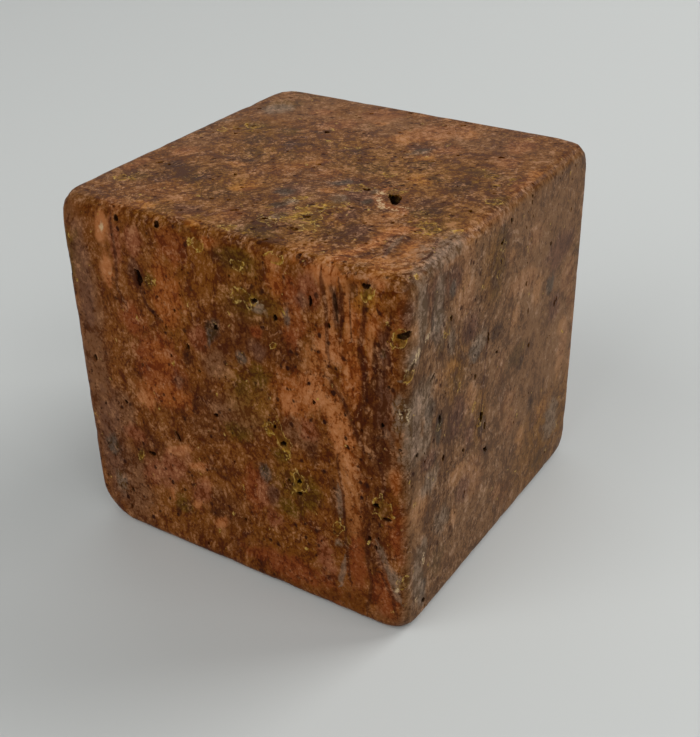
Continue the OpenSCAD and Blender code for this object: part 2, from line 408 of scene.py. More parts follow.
# the stone's colours, each as red, green and blue of 255
tones = {
    "chocolate": (92, 48, 12),
    "amber": (118, 66, 10),
    "drab": (120, 80, 52),
    "rust": (128, 62, 24),
    "orange": (148, 80, 30),
    "peach": (172, 106, 60),
    "umber": (80, 40, 8),
    "olive": (96, 66, 4),
    "rose": (136, 78, 48),
    "violet": (100, 64, 46),
    "slate": (84, 74, 64),
    "grey": (124, 104, 86),
    "mustard": (152, 112, 30),
    "calcite": (200, 172, 132),
    "golden": (128, 84, 22),
}
toneSets = {
    "grounds": ("chocolate", "amber", "drab"),
    "warmTones": ("rust", "orange", "peach"),
    "earthTones": ("umber", "olive", "rose"),
    "coolTones": ("violet", "slate", "grey"),
    "crusts": ("mustard", "calcite", "crusted"),  # the last is where pores have yellow rims
    "textures": ("calm", "streaked", "speckled"),  # even ground, lenses on end, and fine dots
    "lights": ("lit", "deep", "golden"),  # lighter, darker and yellower ground
}

# where each lies: place from the middle of the face, across and up, width, height and clockwise lean,
# in millimetres and degrees
patches = {
    "frontRight": {
        "mustard": [(0.3, 24.6, 1.4, 1, 0)],
        "umber": [(0, 23.8, 1, 1.4, 0)],
        "violet": [(0.4, 20.6, 1.8, 4, 0)],
    },
    "front": {
        "chocolate": [(21.5, 6, 5, 22, 0), (3, 13, 9, 10, 0), (-4, -1, 7, 8, 0), (21, -9, 4, 12, 0),
                      (9, 13, 5, 8, 0), (6, -8, 5, 7, 0), (-14, -11, 7, 8, 0), (-2, -15, 6, 5, 0)],
        "amber": [(-8, 14, 7, 16, 0), (9, -16, 13, 11, 0), (10, -6, 9, 8, 0), (19, 19, 7, 10, 0),
                  (-3, 20, 8, 8, 0), (1, 5, 5, 6, 0), (-9, -18, 9, 7, 0)],
        "drab": [(-22.5, 2, 5, 44, 0), (-19, -6, 5, 10, 0), (-18.5, -17, 7, 14, 0), (1, 1, 8, 6, 0),
                 (-2, 7, 5, 5, 0), (11, 1, 6, 5, 0)],
        "rust": [(-14.5, 10, 4, 5, 0), (-11, 4, 8, 10, 0), (10.5, 18, 4, 9, 0), (8, -21, 14, 4, 0),
                 (22.5, -19, 4, 7, 0), (18.6, -16, 3, 9, 0), (3, -10, 3, 8, 0), (5, 13.5, 2, 2, 0),
                 (-7, 22, 5, 5, 0), (24.4, -10, 1.6, 6, 0)],
        "orange": [(-8.5, 15, 5, 10, 0), (-10, 0, 9, 4, 0), (20, 20, 5, 8, 0), (15.5, 23.5, 6, 2, 0),
                   (8.3, 21, 2.6, 4, 0), (10, 6, 6, 7, 0), (-11, 5, 4, 7, 0), (18.5, 12, 3, 8, 0)],
        "peach": [(-18.2, 21.8, 2.6, 5, 0), (-18, 15.8, 2.4, 4.4, 0), (15.5, 14.5, 4, 5, 0),
                  (13, 8, 4, 6, -15), (18.7, 18, 1.2, 4, 0), (-14, -2, 3.4, 3, 0),
                  (16.8, 3, 3.4, 9, -12), (9.5, 5, 2.4, 3, 0), (-1, 23.6, 3, 1.6, 0),
                  (15, 24, 4.4, 3.4, 0), (21.6, 24.4, 3, 2.6, 0), (8, 23.4, 2, 1.4, 0),
                  (24, -1, 1.4, 4, 0), (-9.4, -8.6, 1.6, 5, 60), (-6, -9.8, 1.2, 4, 75),
                  (-5, -12.6, 2, 3, 30), (-11.4, -16.4, 1.2, 3, 10), (-7, -16.4, 1.4, 3, 40),
                  (-3, -18, 1.6, 3, 50)],
        "umber": [(2, 22.4, 5, 3, 0), (21.4, 13, 2.4, 7, 0), (15.4, -6.6, 1.4, 6, 0),
                  (-13, 16.4, 1.8, 4, 0), (-5, 0, 2.4, 2.4, 0), (-2, 11.6, 2.4, 3, 0),
                  (21, -15, 1, 6, -10), (-6, 7, 1.8, 3, 0), (22, 3, 2, 7, 0), (12.6, -1.4, 2, 3, 0),
                  (18.6, 22.6, 1.8, 3, 0), (20.8, 23.6, 2.4, 1.4, 0), (-9.2, -6.2, 1.4, 2, -25),
                  (-3, -9.5, 1, 4, -70), (-3.5, -16.5, 1.2, 4, 70), (-10.4, -18.6, 1.2, 3, 0)],
        "olive": [(3, 22.6, 5, 3, 0), (2.2, 5, 2.6, 4, 0), (5, 7, 3, 4, 0), (11, -7.5, 6, 5, 0),
                  (5, 17.4, 6, 3, 0), (-9.5, -17.5, 3, 3, 0), (1, -2, 4, 3, 0), (8, -3, 3, 3, 0),
                  (17, -13, 0.9, 2, 0), (8.6, -11, 4, 3, 0), (-16.3, -12, 1.2, 3.4, 15),
                  (-11, 16.3, 2, 3, 0)],
        "rose": [(-16, 20, 2, 8, 0), (-13, 21, 3, 5, 0), (4.4, -10, 2, 6, 0), (14, -17, 3, 6, 0),
                 (13, 21, 3, 4, 0), (6, -14, 3, 3, 0), (-4, 10, 3, 4, 0), (12, 2, 3, 3, 0),
                 (-10.6, -11.6, 4, 7, 35), (-17, -8.6, 4, 3, 0), (-14, -14, 4, 5, 30),
                 (-6, -14, 3, 4, 40)],
        "violet": [(-22.6, 14, 3, 16, 0), (-13.6, 17.4, 1.8, 3.4, 0), (22.6, 9, 2.4, 8, 0),
                   (-21.5, -12, 5, 18, 0), (5, 11, 3, 3, 0), (-8, 3, 2, 3, 0), (12, 19.4, 2, 2.6, 0),
                   (22, -13, 1.4, 5, -10), (6, -10, 2, 3, 0), (16.2, 20, 1.8, 5.6, 0),
                   (22.6, 16.5, 1.8, 6, 0)],
        "slate": [(-1.6, 11.8, 2.2, 3, 0), (5, -6.8, 1.8, 3, 0), (2.6, 9.2, 1.6, 2, 0),
                  (9.6, 17, 1, 3, 0), (-21.6, -12, 2.4, 4, 0), (22.4, 15.6, 1.2, 1.2, 0),
                  (-2.2, 10.4, 1, 2.4, -20)],
        "grey": [(5.8, 16.8, 2.4, 1.6, 0), (24.6, 8, 1.4, 6, 0), (24, -16, 1.8, 3, 0),
                 (-21, -18, 2, 4, 0), (16, -13.6, 1.2, 1.6, 0)],
        "mustard": [(7, 0.4, 2.4, 2.2, 0), (3, 17.6, 2.8, 1.8, 0), (24.8, -16.6, 1.2, 1.6, 0),
                    (22.2, -5.8, 2.6, 2.8, 20), (8.4, -1.2, 2.2, 1.8, 0), (3, 22, 2, 1.4, 0),
                    (10.3, -6.4, 1.8, 2.4, 0), (24.6, 18, 1.4, 2.4, 0), (-2.8, 23, 2, 1.6, 0),
                    (15.8, -11.4, 1.1, 2.2, 0), (7.8, 23.8, 2, 1.2, 0), (-16.2, -11.6, 0.8, 1.6, 15),
                    (20.6, 22.4, 1.4, 1.8, 0), (7.4, 12.4, 0.8, 1.5, 65), (-11, 16.2, 1, 1.6, 0)],
        "calcite": [(6.3, 17.2, 1.6, 0.7, 10), (23, 22.4, 0.4, 0.7, 0), (24.3, -17.6, 0.6, 1.4, 25),
                    (-18.2, 21.8, 0.7, 1.8, 0), (-17.6, 15.8, 0.6, 1.8, 10), (5.6, 17.6, 1.4, 0.5, 30)],
        "crusted": [(6, 17.6, 7, 4, 0), (3, 21.5, 6, 3, 0), (9.5, -7, 5, 5, 0), (21, -6.5, 5, 6, 0),
                    (7, 0, 5, 4, 0)],
        "calm": [(-22.5, 5, 4, 44, 0), (19, -15, 2.4, 12, 0), (4, -20, 14, 5, 0), (-18, 19, 3, 10, 0),
                 (16, 23, 6, 2, 0)],
        "streaked": [(18, 16, 9, 16, 0), (20, 4, 6, 16, 0)],
        "speckled": [(15, 4, 8, 22, -15), (18.5, -8, 3, 10, 0), (-11, 12, 6, 8, 0), (8, -18, 14, 8, 0)],
        "lit": [(-18.2, 21.5, 4, 6, 0), (-18.2, 15.8, 3, 5, 0), (-19, 10, 5, 6, 0), (14, 12, 8, 8, 0),
                (13, 20, 4, 8, 0), (10, 6, 6, 6, 0), (17.6, -4, 4, 8, 0), (-8.5, -9, 8, 7, 0),
                (-15, -1, 6, 4, 0), (19, 20, 3, 6, 0), (15, 24, 4, 3, 0), (21.6, 24.4, 3, 2.4, 0),
                (-13, 22, 6, 5, 0), (4.5, 15.5, 4, 3, 0), (-4, -12, 4, 4, 0), (-16, 8, 4, 8, 0),
                (-22, 20, 5, 8, 0), (-12, -14, 6, 6, 0), (-4, -20, 8, 6, 0), (19.6, 3, 3, 6, 0),
                (-4, -4, 4, 3, 0)],
        "deep": [(2, 22.5, 7, 4, 0), (-13.2, 17, 2.4, 6, 0), (-1.5, 11.5, 4, 5, 0), (5, 2, 7, 6, 0),
                 (12, -8, 8, 10, 0), (21, -10, 4, 8, 0), (-5, 0, 3, 3, 0), (3, -4, 4, 4, 0),
                 (21.8, 10, 3, 6, 0)],
        "golden": [(5, 17, 9, 4, 0), (9, -7, 6, 5, 0), (3, 22, 7, 3, 0), (3.4, 4, 6, 8, 0),
                   (20.4, 21.6, 3, 3, 0)],
    },
    "right": {
        "chocolate": [(-13, 1, 7, 8, 0), (-9, 13, 5, 5, 0), (-2, 8.6, 4, 3, 0), (2, -13, 8, 8, 0),
                      (11, -8, 4, 7, 0), (-3, -8, 4, 4, 0), (6, 0, 5, 4, 0), (-24, 13, 2, 8, 0)],
        "amber": [(-6, -1, 3, 8, -15), (15, -21, 8, 4, 0), (12, 24.4, 22, 1.4, 0), (4, 2, 8, 5, 0),
                  (-10, -19, 9, 6, 0), (-13, 6, 4, 6, 0), (18, 20, 8, 6, 0)],
        "drab": [(8, 4, 36, 40, 0), (-4, -16, 30, 18, 0), (-8, 18, 16, 14, 0), (18, -8, 14, 30, 0),
                 (-20, 2, 10, 14, 0), (-18, -16, 12, 14, 0), (-19, 18, 10, 12, 0)],
        "rust": [(-24.6, -9, 1.6, 9, 0), (-24.5, 20, 1.4, 5, 0), (-24, 12.6, 1.6, 3, 0),
                 (-1, 3, 3, 5, 0), (3, -20, 5, 4, 0)],
        "orange": [(-23.6, -6.5, 3, 3, 0), (-24, 22.6, 1.6, 3, 0), (-10, 2, 3, 4, 0),
                   (21.5, 6, 2.4, 5, 0)],
        "peach": [(-21.5, -7, 4, 5, 0), (-23, 18.4, 2.6, 3, 0), (-11.4, 18, 5, 5, 0),
                  (5, 12.4, 9, 3, 10), (3, 8, 3, 4, 0), (9.6, 9, 3, 5, 0), (-9, 2.5, 3, 4, 0),
                  (19.5, -1, 3.4, 3.4, 0), (20, -6.5, 4, 5, 0), (-12, -7.5, 4.4, 3, 0),
                  (14, -12, 4.4, 3, -20), (-14.6, 9.4, 3, 2, 0), (-17.6, 9, 3, 3, 0),
                  (7, -13, 2.6, 5, 0), (1, 17.4, 2.4, 2.4, 0), (-11, 23.6, 2, 3, 0),
                  (-19, 8, 1.4, 3, 0), (-8, -9.4, 5, 2.4, 0), (-13, -14, 3, 3, 0)],
        "umber": [(-2.4, 8.6, 3.4, 2, 0), (-4, -8.4, 1.8, 1.8, 0), (-13, 1, 2, 3, 0),
                  (-19, -1.4, 3.4, 1.6, 0), (-17.2, 3.6, 1.8, 2.6, 0), (10, -9, 2, 3, 0),
                  (5.4, 0, 3, 2, 0), (-6, -4, 1.6, 3, 0), (-10, 11.6, 2.6, 2.4, 0),
                  (-5, -13, 3, 2.4, 0), (-22.8, 24.6, 1.6, 1.4, 0)],
        "olive": [(-3, 17, 4, 7, 0), (-2, 21, 3, 4, 0), (-5.4, -2.4, 2, 5, -15), (4, 2, 6, 3, 0),
                  (-17, 14, 2, 3, 0), (14, -21, 6, 3, 0), (-13, 6.6, 2.4, 2, 0), (-17, -18, 4, 4, 0)],
        # the thin rose strips along the upper edge, up 23.6 to 24.5, are painted highlight of the rounded
        # edge to the top
        "rose": [(-11, 22.6, 4, 4, 0), (-8, 24.5, 10, 2, 0), (-11, 16.6, 5, 4, 0), (8, 17.6, 4, 4, 0),
                 (5.6, 12, 9, 3, 10), (20, 7, 4, 5, 0), (21.6, 2.6, 2.4, 4, 0), (-8, -8.6, 5, 3, 0),
                 (16, -12, 4, 3, -20), (-15, 23.6, 6, 2, 0), (2, -4, 5, 4, 0), (20.6, -4, 3, 6, 0),
                 (-7, -12, 5, 5, 0), (-2, 23.6, 4, 1.6, 0), (3, -8, 4, 4, 0), (0, -18, 4, 3, 0)],
        "violet": [(-18, 20, 4.4, 9, 0), (-14, 21, 3, 4, 0), (16, 12, 8, 5, 0), (-20.6, 21, 2, 4, 0),
                   (-12.4, 1.4, 5, 6, 0), (-9.6, 12.6, 4, 4, 0), (19.6, 12.6, 3, 3, 0),
                   (-19.4, -1, 5, 2.4, 0), (16, 4, 4, 5, 0), (-9, -3, 3, 4, 0), (-10.5, -11, 4, 4, 0)],
        "slate": [(-19.6, 6.4, 2.4, 4, 0), (-17.4, 2, 2, 4, 0), (-8, 8.6, 4, 3, 0),
                  (-18.4, 17, 2.4, 5, 0), (-20.6, -20, 2, 5, 0), (14, 8, 2.4, 3, 0),
                  (-14.6, 19.8, 1.6, 2, 0)],
        # the grey patches nearest the front edge, across -24 to -17, are painted sheen of that rounded edge;
        # the thin one along the upper edge, up 24.6, is painted highlight of the edge to the top
        "grey": [(-23, 5, 4, 10, 0), (-20.4, 3, 3, 5, 0), (-17.6, 19, 3, 9, 0), (-16, 24.6, 12, 2, 0),
                 (-21.6, 20, 2.4, 9, 0), (-21, 9, 5, 5, 0), (-19, -4, 4, 4, 0), (-22, -18, 2.6, 9, 0),
                 (-23, 15, 3, 2.4, 0), (-7, 9.4, 4, 3, 0), (-20.5, -14, 2, 4, 0), (18, -16, 5, 8, 0),
                 (-14.6, 13.4, 2, 4, 0), (-16, -12, 4, 4, 0)],
        "mustard": [(-1.8, 19.8, 1.6, 1.2, 20), (-15.2, 16, 0.8, 1, 0), (-7.6, 0.5, 0.9, 1.2, 0),
                    (-24.4, -16.5, 1, 1.8, 0), (-17.2, 2.6, 0.8, 0.8, 0), (-12.5, 5.5, 0.8, 1.6, 20),
                    (-5.6, -2.6, 0.7, 1.6, 0), (-24.2, 13.2, 1.4, 1.4, 0), (-22.4, 25, 2.4, 1.2, 0),
                    (-15.6, 15.4, 1.2, 2, 20)],
        "calcite": [(-20.4, -15, 1, 2.4, 0), (-22.2, -20.5, 0.8, 1.4, 0), (-16.6, 10, 0.5, 1.2, 0),
                    (-22, 15.3, 1, 5.6, 62), (-24.5, 8.2, 1.8, 3, 0), (-23.8, 25, 0.8, 1.6, 0)],
        "crusted": [(-2.4, 17, 4, 8, 0), (-6, -3, 3, 6, 0), (-13, 6, 3, 4, 0)],
        "calm": [(14, 0, 22, 50, 0), (-22, -8, 5, 8, 0)],
        "streaked": [(-18, 2, 12, 44, 0)],
        "speckled": [(-3, 14, 5, 14, 0), (-16, -2, 8, 12, 0), (-9, 16, 12, 14, 0), (-20, 6, 8, 16, 0),
                     (-15, -12, 10, 8, 0)],
        # the first, a thin strip along the upper edge, is painted highlight of the rounded edge to the top
        "lit": [(-14, 24.6, 18, 2, 0), (-17, 9.5, 7, 4, 0), (-9, 3, 5, 6, 0), (4, 12, 10, 5, 0),
                (9, 8, 6, 7, 0), (-22, -6, 4, 6, 0), (-11, -8, 9, 5, 0), (-10, -13, 8, 6, 0),
                (19, -2, 8, 7, 0), (22, -6, 5, 8, 0), (0, 17, 4, 4, 0), (-14, -18, 6, 5, 0),
                (-22, 6, 4, 8, 0), (-11, 19, 4, 5, 0), (7, -13, 3, 4, 0), (20, 8, 4, 4, 0)],
        "deep": [(-2, 21, 5, 5, 0), (-4, 14, 4, 10, 0), (-3, 8.5, 5, 4, 0), (-17, 2, 6, 7, 0),
                 (-20, -1.5, 8, 3, 0), (-5, -3, 3, 8, 0), (-10, 12, 5, 4, 0), (5, 1, 8, 4, 0),
                 (10, -7, 4, 7, 0), (18, 13, 7, 4, 0), (-20, -12, 3, 8, 0), (-2, -9, 4, 4, 0),
                 (3, -16, 7, 6, 0), (15, 4, 4, 5, 0), (-20, 19, 3, 9, 0), (18, -18, 14, 12, 0),
                 (12, -12, 8, 6, 0), (22, 4, 4, 6, 0), (-21, 12, 5, 6, 0)],
        "golden": [(-4, 18, 5, 8, 0), (-13, 8, 5, 7, 0), (-6, -2, 3, 8, 0), (16, -17, 16, 12, 0)],
    },
    "top": {
        "chocolate": [(-5, 3, 7, 10, 45), (-16, -12, 8, 7, 30), (-15, 3, 4, 5, 0), (17.5, -6, 5, 5, 30),
                      (-11, -3, 5, 6, 45), (3.5, -21, 8, 5, 0), (18, 2, 6, 5, 45), (-8, -15, 5, 6, 45),
                      (13, -17, 5, 5, 0)],
        "amber": [(0, 7, 8, 6, 45), (18, 7, 9, 5, 0), (5, 2, 9, 6, 0), (-12, -1, 6, 6, 45),
                  (-12, -17, 8, 7, 30), (12, 4, 8, 6, 45), (7, -20, 6, 5, 0), (20, -11, 7, 5, 30)],
        "drab": [(-18, 17, 14, 14, 0), (-3, 18, 14, 10, 0), (14, 18, 16, 8, 0), (2, -10, 8, 8, 20),
                 (-21, -2, 6, 10, 0)],
        "rust": [(-4, -2, 4, 10, 30), (-8, -8, 4, 5, 30), (-5, 3, 5, 6, 45), (-14, -17, 5, 6, 30),
                 (-9, -24, 5, 1.6, 0), (12, -22, 4, 3, 0), (-2, 7, 3, 3, 0), (10, -15, 4, 3, 40)],
        "orange": [(22, -17.5, 3.5, 4, 0), (11, -23, 4, 3.4, 0), (-6, -11, 3, 5, 30),
                   (-3, -1, 2, 6, 30), (20.6, -22, 2.6, 4, 0), (-13, -22.6, 4, 3, 0),
                   (-4, -23.6, 3, 2, 0), (17.4, -23, 2, 2, 0)],
        "peach": [(15.4, -23.6, 3, 3, 0), (21.4, -23.6, 3, 3, 0), (-5.6, -12, 2.4, 4, 30),
                  (5, 16, 9, 5, -45), (3, 13, 4, 4, 45), (17, -14, 2.4, 4, 30),
                  (13.4, -8.4, 3.4, 1.4, -20), (-3, 17, 2, 2, 0), (-11.4, -6, 2.4, 2.4, 45),
                  (12.4, 1, 4, 3, 30), (9.6, 19, 4, 4, 45), (-13, -22.6, 3.4, 2, 0),
                  (20.4, -21.6, 2, 3, 0), (24, 10, 1.6, 4, 0), (4, -7.6, 2, 1.6, 0),
                  (-4.6, -23.8, 2, 1.2, 0), (15, -10.4, 3, 2, -30), (9, 8, 2, 3, 45),
                  (-20.6, -6, 2.4, 3, 45), (22.8, -20, 2.6, 5, 0), (22.4, -17.4, 3.6, 6.4, -10),
                  (17.4, -17.5, 1.2, 5, 0), (16, -22.4, 2.4, 3, 40), (18.8, -22, 1.2, 3, 20)],
        "umber": [(-13, -12.6, 3, 3.4, 30), (-11, -4, 2, 2.4, 45), (18.4, -7, 3, 2.6, 0),
                  (4, -21.6, 5, 2.6, 0), (-15, 3, 2.4, 3, 0), (-9.6, 4, 2, 3, 45), (18, 2, 3, 3, 45),
                  (-18.6, -10, 3, 3, 0), (0, 5.6, 2, 3, 45), (-8.4, 10, 1.8, 2.6, 45),
                  (9.8, -1.6, 2, 1.6, 0), (14, 2.4, 2.4, 2, 0)],
        "olive": [(5, 1.6, 6, 4, 0), (-18, 7.6, 4, 3, 0), (-12.4, 8, 4, 3, 0), (18, 7, 6, 3, 0),
                  (-20, -15.6, 3, 3, 0), (24, 0, 2, 4, 0), (4, -22, 6, 3, 0), (21, -11, 5, 3, 30),
                  (-12, -1, 4, 3, 45), (7, -17, 4, 4, 0), (-20, 17, 5, 6, 0), (10, 5.6, 4, 3, 45),
                  (17.6, -8, 3, 2.4, 0)],
        "rose": [(-5, 20, 6, 6, 45), (6, 18, 9, 6, -45), (18, 18, 4, 6, 0), (19, 12, 4, 4, 0),
                 (14, -12.6, 4, 3, 20), (1, -2.6, 3, 4, 45), (-7, -22, 3, 3, 0), (-20.6, -5, 3, 4, 45),
                 (-8, 14, 4, 6, 45), (24, 6, 2, 6, 0), (-13, 17, 3, 4, 45), (10, 12, 3, 5, 45),
                 (-23, -12, 2, 5, 0), (-10.6, -19, 3, 4, 30), (-16, -23.4, 6, 2.4, 0),
                 (-2, -20, 4, 4, 30)],
        "violet": [(13.6, -16, 3.4, 3.4, 0), (7, 11, 2, 4, 45), (0, -10, 4, 4, 45),
                   (8.4, -7.4, 4.4, 4, 20), (5, -4, 3, 4, 30), (-7.4, -21, 4, 3, 0),
                   (2.6, -15.6, 3, 4, 30), (10.4, -13, 3, 3, 0), (19.2, -17.8, 1, 4, -15)],
        "slate": [(4.2, -4.6, 1.8, 3, 30), (10.6, -8, 1.6, 3, 20), (-0.4, -10.6, 2.4, 2.6, 45),
                  (1.6, -14.4, 2, 3, 30), (7.4, 10.6, 1, 3, 45)],
        "grey": [(9.6, -4.8, 1.8, 1.8, 20), (2, -12.8, 2, 1.6, 45), (3.4, -17, 1.6, 2.4, 30),
                 (7.4, 9.4, 1.4, 3, 45), (7, -9, 3, 2.4, 20), (-20, 15, 4, 5, 0)],
        "mustard": [(6.8, -5, 2.8, 2.2, -15), (7.4, -10.8, 3.2, 1.6, -35), (5.6, -13.8, 3.4, 2.2, -35),
                    (7, -15.4, 2, 2, 0), (4.8, -17.2, 1.6, 2, 30), (3, -18.8, 2.8, 1.6, 20),
                    (8.6, -18, 2.4, 1.6, 40), (0.2, -22.6, 2, 1.6, 0), (20.6, -11.4, 3, 1.8, 40),
                    (23.8, -10.6, 1.4, 1.4, 0), (23.6, -0.8, 2, 1.6, 0), (18.4, -8.6, 1.6, 1.4, 0),
                    (-1.6, 6.8, 1.6, 1.4, 0), (-18.4, 7.4, 2.4, 1.8, 0), (11.6, -4.2, 2.4, 1.4, -40),
                    (-21.4, -17, 2.4, 1.6, -30), (-21.5, 4, 1.6, 1.4, 0), (8, 0.8, 2, 1.4, 0),
                    (2.6, -11.2, 1.6, 1.4, 0)],
        "calcite": [(9.8, -4.8, 1.4, 1, 10), (2.2, -12.4, 1.2, 1, -35), (3, -18.6, 1.4, 0.9, 20),
                    (19, -1.2, 0.7, 1.2, 0), (7.8, -11.4, 1.8, 0.9, -30), (14.9, -8.2, 2, 1.2, -20),
                    (11.3, -6.9, 1.3, 3.8, -38), (13.3, -8.4, 3, 1.6, 10)],
        "crusted": [(5, -14, 11, 9, 0), (7.4, -5.4, 5, 3, 0), (20.6, -12, 7, 4, 30),
                    (-20, -16, 6, 5, 0), (4, -22, 8, 3, 0), (-18, 7, 6, 5, 0), (21, 5, 7, 8, 0)],
        "calm": [(-8, 19, 30, 9, 0), (-18, 10, 10, 14, 0), (21, -18, 4, 6, 0)],
        "streaked": [(18, -20, 10, 8, 0)],
        "speckled": [(12, -16, 8, 8, 0), (6, 3, 12, 10, 45)],
        "lit": [(5, 18, 12, 9, 0), (-3, 17, 5, 5, 0), (-13, 18, 6, 6, 0), (-19, 6, 6, 5, 0),
                (-8, -12, 5, 8, 0), (20.5, -20, 9, 8, 0), (14, -12, 7, 4, 0), (-5, -3, 5, 10, 0),
                (11, -23, 5, 4, 0), (-12, -5, 4, 5, 0), (12, 2, 6, 4, 0), (0, -22, 4, 3, 0),
                (22, 14, 4, 6, 0), (-20, 20, 9, 8, 0), (22.6, -19, 4, 9, 0)],
        "deep": [(-10, 4, 8, 7, 0), (14, -7, 8, 4, 0), (-15, -12, 8, 7, 0), (18, 3, 7, 6, 0),
                 (9, -3, 5, 4, 0), (3, -21, 6, 5, 0), (7, 11, 3, 5, 0), (0, -10, 4, 4, 0),
                 (-5, -22, 5, 4, 0), (8, -9, 5, 5, 0), (-19, -9, 5, 4, 0), (10, -13, 5, 4, 0),
                 (0, 6, 6, 4, 0)],
        "golden": [(5, 4, 18, 11, 0), (14, 3, 12, 12, 0), (-17, 6, 9, 7, 0), (-10, 1, 14, 9, 0),
                   (-10, -12, 16, 10, 0), (8, -16, 12, 12, 0), (-8, -22, 12, 5, 0), (21, -8, 7, 9, 0),
                   (5, -15, 10, 8, 0), (-3, 7, 8, 6, 0)],
    },
}

# thin veins, as width and path in millimetres; neighbours in a row run opposite ways, so that the offset
# from the nearest one, which has a sign, changes smoothly from each to the next
veins = {
    "dark": {
        "front": [
            (0.5, ((-16.4, 23), (-16.2, 19), (-16.6, 14), (-15.8, 12))),
            (0.5, ((15.1, 13.5), (15.2, 18), (14.7, 23))),
            (0.6, ((17.2, 22.4), (17.2, 18.6), (17, 16.6))),
            (0.6, ((19.4, 2.4), (18.6, 4.6), (17.8, 6.2), (17, 8), (15.4, 10))),
            (0.7, ((20.4, 23), (20, 18), (19.4, 14.8), (20, 13), (20.2, 8.6))),
            (0.5, ((23.4, 14.4), (22.8, 17.4), (23.4, 20))),
            (0.5, ((21.8, 1), (22.6, -1.6), (22.2, -4.6))),
            (0.4, ((17.4, -19), (17, -13), (16.8, -6), (16, -1))),
            (0.5, ((20.4, -9), (20, -13), (20.6, -18), (20, -23))),
            (0.5, ((24.2, -21.6), (23.8, -19), (22.4, -16.6))),
            (0.5, ((-12.6, 14.4), (-12, 12.4), (-10, 11))),
        ],
        "top": [
            (0.5, ((16, -22.6), (17.6, -22.2), (18.2, -20.4))),
            (0.5, ((19.8, -20), (18.8, -18), (18.4, -16))),
            (0.4, ((23, -14), (24.2, -17), (24, -20))),
        ],
        "right": [
            (0.4, ((-5.2, -8), (-5.8, -2), (-5.4, 3), (-4.8, 9.6))),
        ],
    },
    "pale": {
        "front": [
            (2.8, ((13.4, 12), (15.4, 8), (17.2, 2), (17.8, -3), (18.2, -7))),
            (2.2, ((18.4, -10), (18.2, -4))),
            (1.0, ((17.8, 12), (18, 17), (17.8, 23))),
            (0.7, ((15.6, 21.4), (15.7, 18), (16, 16.4))),
            (0.7, ((20.8, 12.6), (20.9, 17), (21.6, 20.4))),
        ],
        "top": [
            (1.2, ((10.2, -4.4), (10.7, -6.6), (11.6, -7.6), (13, -8.4), (14.6, -8), (15.4, -8.6))),
            (1.6, ((18.6, -13), (17.2, -15), (17.2, -18.6), (16.2, -21.4), (15.6, -24))),
        ],
    },
    "cool": {
        "front": [
            (1.0, ((24.6, -19), (23.4, -15.4), (22, -12))),
            (0.9, ((16.1, -5.6), (16.3, -9))),
            (0.8, ((16, -19.6), (16.6, -16.4))),
        ],
        "top": [
            (0.7, ((19, -15.8), (19.3, -17.6), (19.8, -19.4))),
            (0.9, ((24.4, -13.6), (24.8, -19))),
        ],
        "right": [
            (0.8, ((-24.6, 13), (-23, 15.6), (-20, 16.4), (-17.4, 15))),
            (1.2, ((-22.8, 2), (-22.4, 9))),
        ],
    },
}

# the faces that are turned away carry the same kinds of patch, strewn by chance
hiddenPatches = {
    "faces": {"back": 0, "left": 0, "base": 45},  # and how far their beds lean on them
    "each": 5,  # patches of each tone on each
    "smallest": 1.5,
    "largest": 7.0,
    "groundScale": 2.4,  # how much larger the patches of ground are
    "crustScale": 0.35,
    "spread": 24,  # how far from the middle of the face they may lie, in millimetres
    "seed": 12,
}


def patchRows():  # every patch as its tone, its place in millimetres, its axes and its half sizes
    rows = []
    for name, byTone in patches.items():
        for tone, places in byTone.items():
            for across, up, width, height, lean in places:
                rows.append((tone, *placeOn(name, across, up, lean), (width, height)))
    draw = random.Random(hiddenPatches["seed"])
    spread = hiddenPatches["spread"]
    for name, lean in hiddenPatches["faces"].items():
        for tone in [tone for members in toneSets.values() for tone in members]:
            share = 1
            if tone in toneSets["grounds"] + toneSets["textures"]:
                share = hiddenPatches["groundScale"]
            elif tone in ("mustard", "calcite"):
                share = hiddenPatches["crustScale"]
            for _ in range(hiddenPatches["each"]):
                width = draw.uniform(hiddenPatches["smallest"], hiddenPatches["largest"]) * share
                height = width * draw.uniform(1.1, 2.2)
                place = placeOn(name, draw.uniform(-spread, spread), draw.uniform(-spread, spread), lean)
                rows.append((tone, *place, (width, height)))
    return rows


# How strongly each tone shows at each point: 1 within a patch, a half at its edge and 0 well outside
def toneStrengths(points):
    strengths = {tone: numpy.zeros(len(points)) for members in toneSets.values() for tone in members}
    for tone, axes, centre, (width, height) in patchRows():
        away = points - numpy.array(centre)
        sizes = (width / 2, height / 2, (width + height) / 4)
        square = sum((away @ numpy.array(axis) / (size * mm)) ** 2 for axis, size in zip(axes, sizes))
        strength = numpy.clip(1.33 - numpy.sqrt(square) / 1.2, 0, 1)
        strengths[tone] = numpy.maximum(strengths[tone], strength)
    return strengths


# Offset from the nearest vein of each kind, in half widths, and how near it is, from 0 to 1
def veinOffsets(points):
    offsets, nearness = [], []
    for byFace in veins.values():
        nearest = numpy.full(len(points), 9.0)
        offset = numpy.full(len(points), 9.0)
        near = numpy.zeros(len(points))
        for name, rows in byFace.items():
            out = numpy.array(sideFrame(name)[0][2])
            for width, path in rows:
                ends = [numpy.array(placeOn(name, across, up, 0)[1]) for across, up in path]
                for start, end in zip(ends, ends[1:]):
                    run = end - start
                    along = numpy.clip((points - start) @ run / (run @ run), 0, 1)
                    away = points - start - along[:, None] * run
                    distance = numpy.linalg.norm(away, axis=1) / mm
                    side = numpy.sign(away @ numpy.cross(run, out))
                    closer = distance < nearest
                    nearest = numpy.where(closer, distance, nearest)
                    offset = numpy.where(closer, distance * side / (width / 2), offset)
                    reach = numpy.clip(1 + (width / 2 + 0.6 - distance) / 0.8, 0, 1)
                    near = numpy.maximum(near, reach)
        offsets.append(offset)
        nearness.append(near)
    return offsets, nearness


